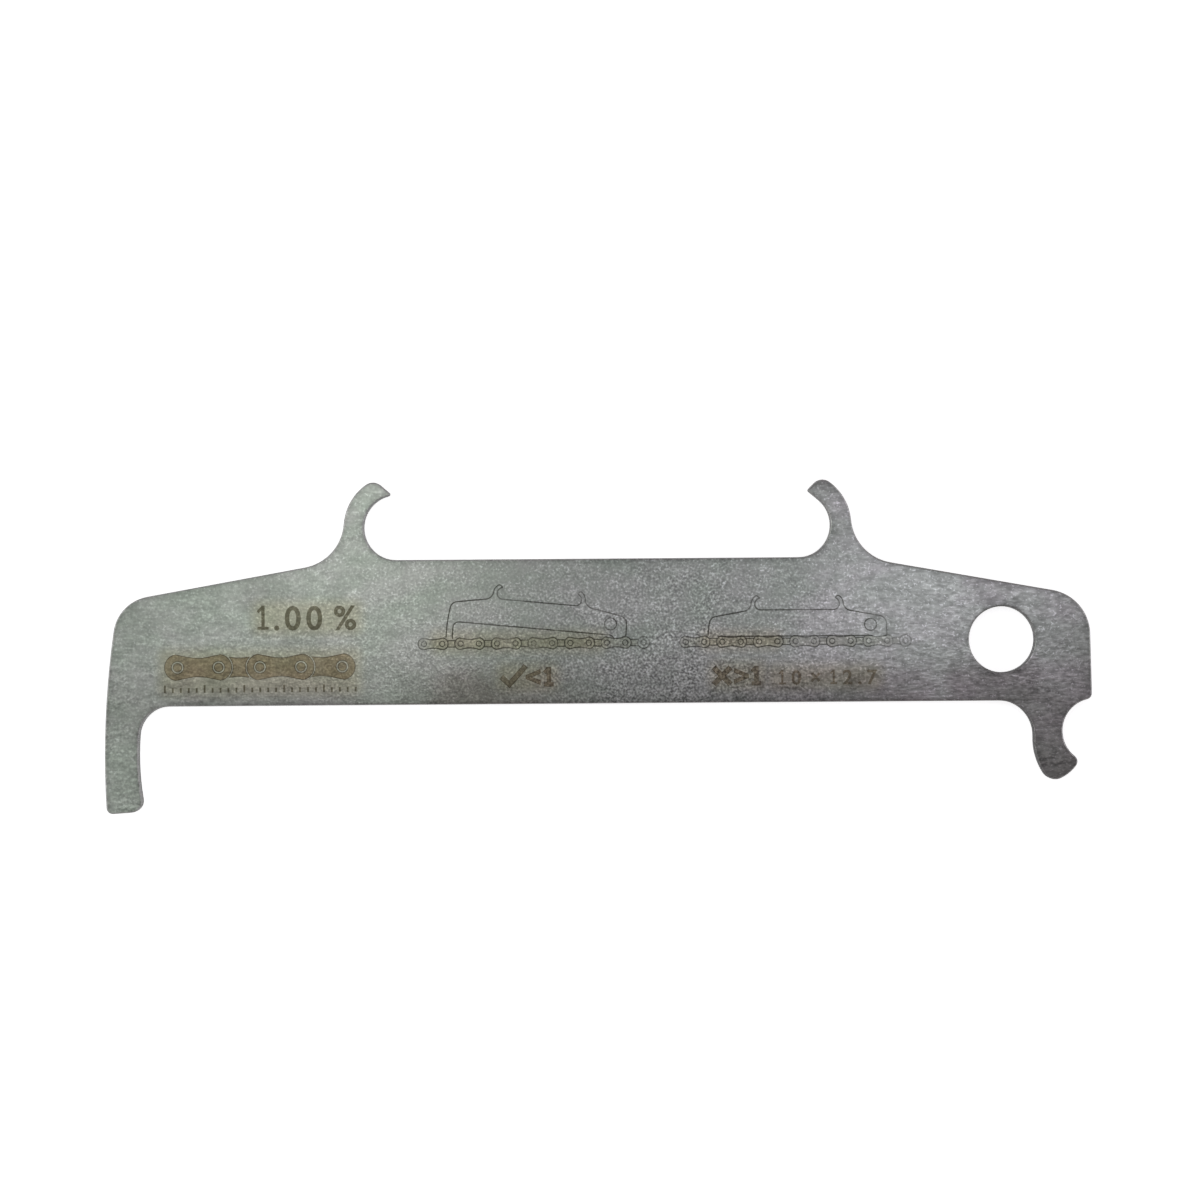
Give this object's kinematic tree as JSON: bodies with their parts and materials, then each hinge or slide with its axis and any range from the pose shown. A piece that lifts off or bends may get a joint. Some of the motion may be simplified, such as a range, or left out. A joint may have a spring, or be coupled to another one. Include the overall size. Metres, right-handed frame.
{
  "type": "chain wear gauge",
  "caption": "Flat stamped steel plate with open hooks along its top edge, a curved drop leg at one end, a leg with a roller notch at the other and a round hanging hole.",
  "frame": {"origin": "on the underside, at the middle of the plate's length and of its height over the hook crowns and the drop leg's foot", "axes": "+X along the plate towards the end with the hanging hole and the roller notch, +Y towards the hooks, +Z out of the marked face"},
  "size_m": [0.1242, 0.0414, 0.002],
  "materials": {
    "satin_stainless_steel": "satin, tumbled after blanking"
  },
  "bodies": {
    "root": {"gauge_plate": "satin_stainless_steel"}
  },
  "joints": []
}
